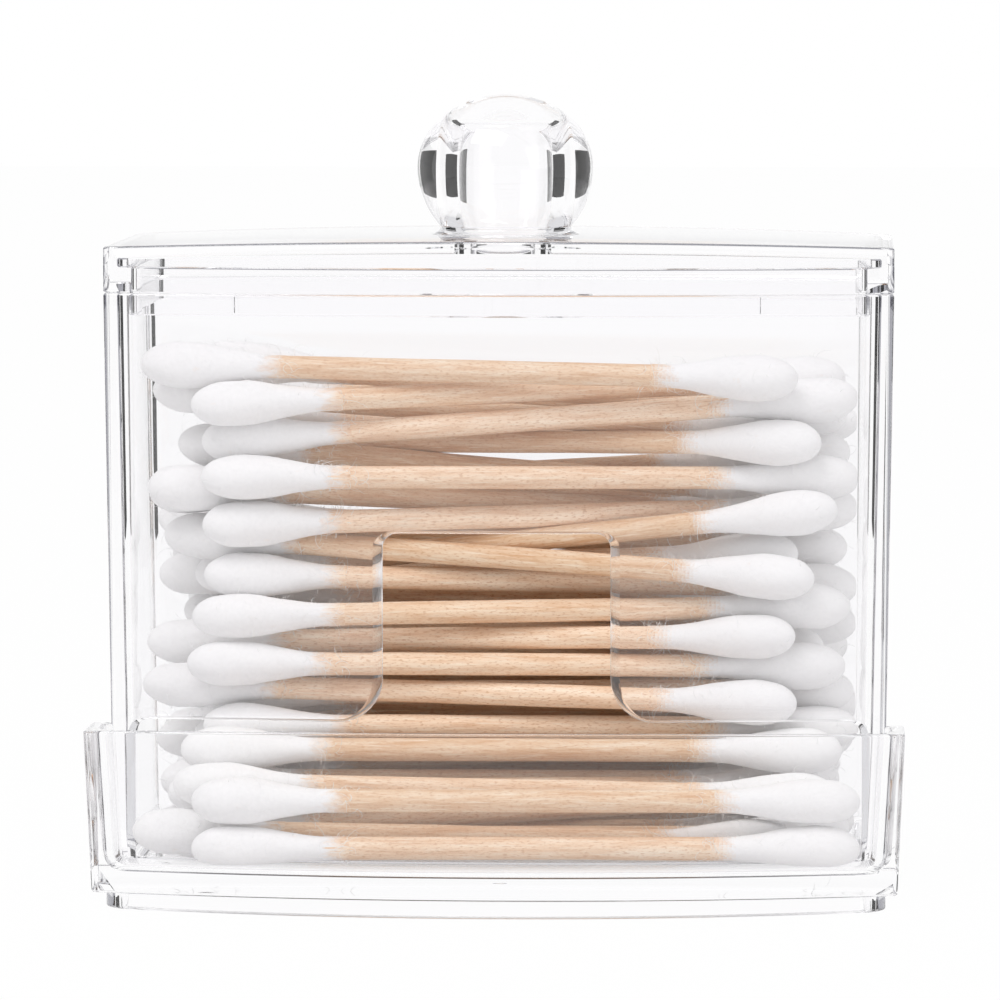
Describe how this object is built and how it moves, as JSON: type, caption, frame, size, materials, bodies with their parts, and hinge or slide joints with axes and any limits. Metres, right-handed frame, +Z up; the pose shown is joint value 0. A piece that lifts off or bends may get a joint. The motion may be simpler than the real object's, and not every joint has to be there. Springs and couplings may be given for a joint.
{
  "type": "cotton swab dispenser",
  "caption": "Clear moulded box with a flared dispensing tray at the front foot, a lift-off lid with a ball knob, and a pile of wooden-stick cotton swabs inside.",
  "frame": {"origin": "middle of the footprint, on the surface that the foot ring stands on", "axes": "+Z up, the tray faces -Y, X runs across the box's width"},
  "size_m": [0.0906, 0.0665, 0.0896],
  "materials": {
    "clear_plastic": "clear, polished",
    "wood": "plain birch, unvarnished",
    "cotton": "wound cotton, matte"
  },
  "bodies": {
    "dispenser": {"case": "clear_plastic", "layer_01_sticks": "wood", "layer_01_buds": "cotton", "layer_02_sticks": "wood", "layer_02_buds": "cotton", "layer_03_sticks": "wood", "layer_03_buds": "cotton", "layer_04_sticks": "wood", "layer_04_buds": "cotton", "layer_05_sticks": "wood", "layer_05_buds": "cotton", "layer_06_sticks": "wood", "layer_06_buds": "cotton", "layer_07_sticks": "wood", "layer_07_buds": "cotton", "layer_08_sticks": "wood", "layer_08_buds": "cotton", "layer_09_sticks": "wood", "layer_09_buds": "cotton", "layer_10_sticks": "wood", "layer_10_buds": "cotton"},
    "lid": {"lid": "clear_plastic"}
  },
  "joints": [
    {"name": "lid_lift", "type": "slide", "parent": "dispenser", "child": "lid", "axis": [0, 0, 1], "range_m": [0, 0.06]}
  ]
}
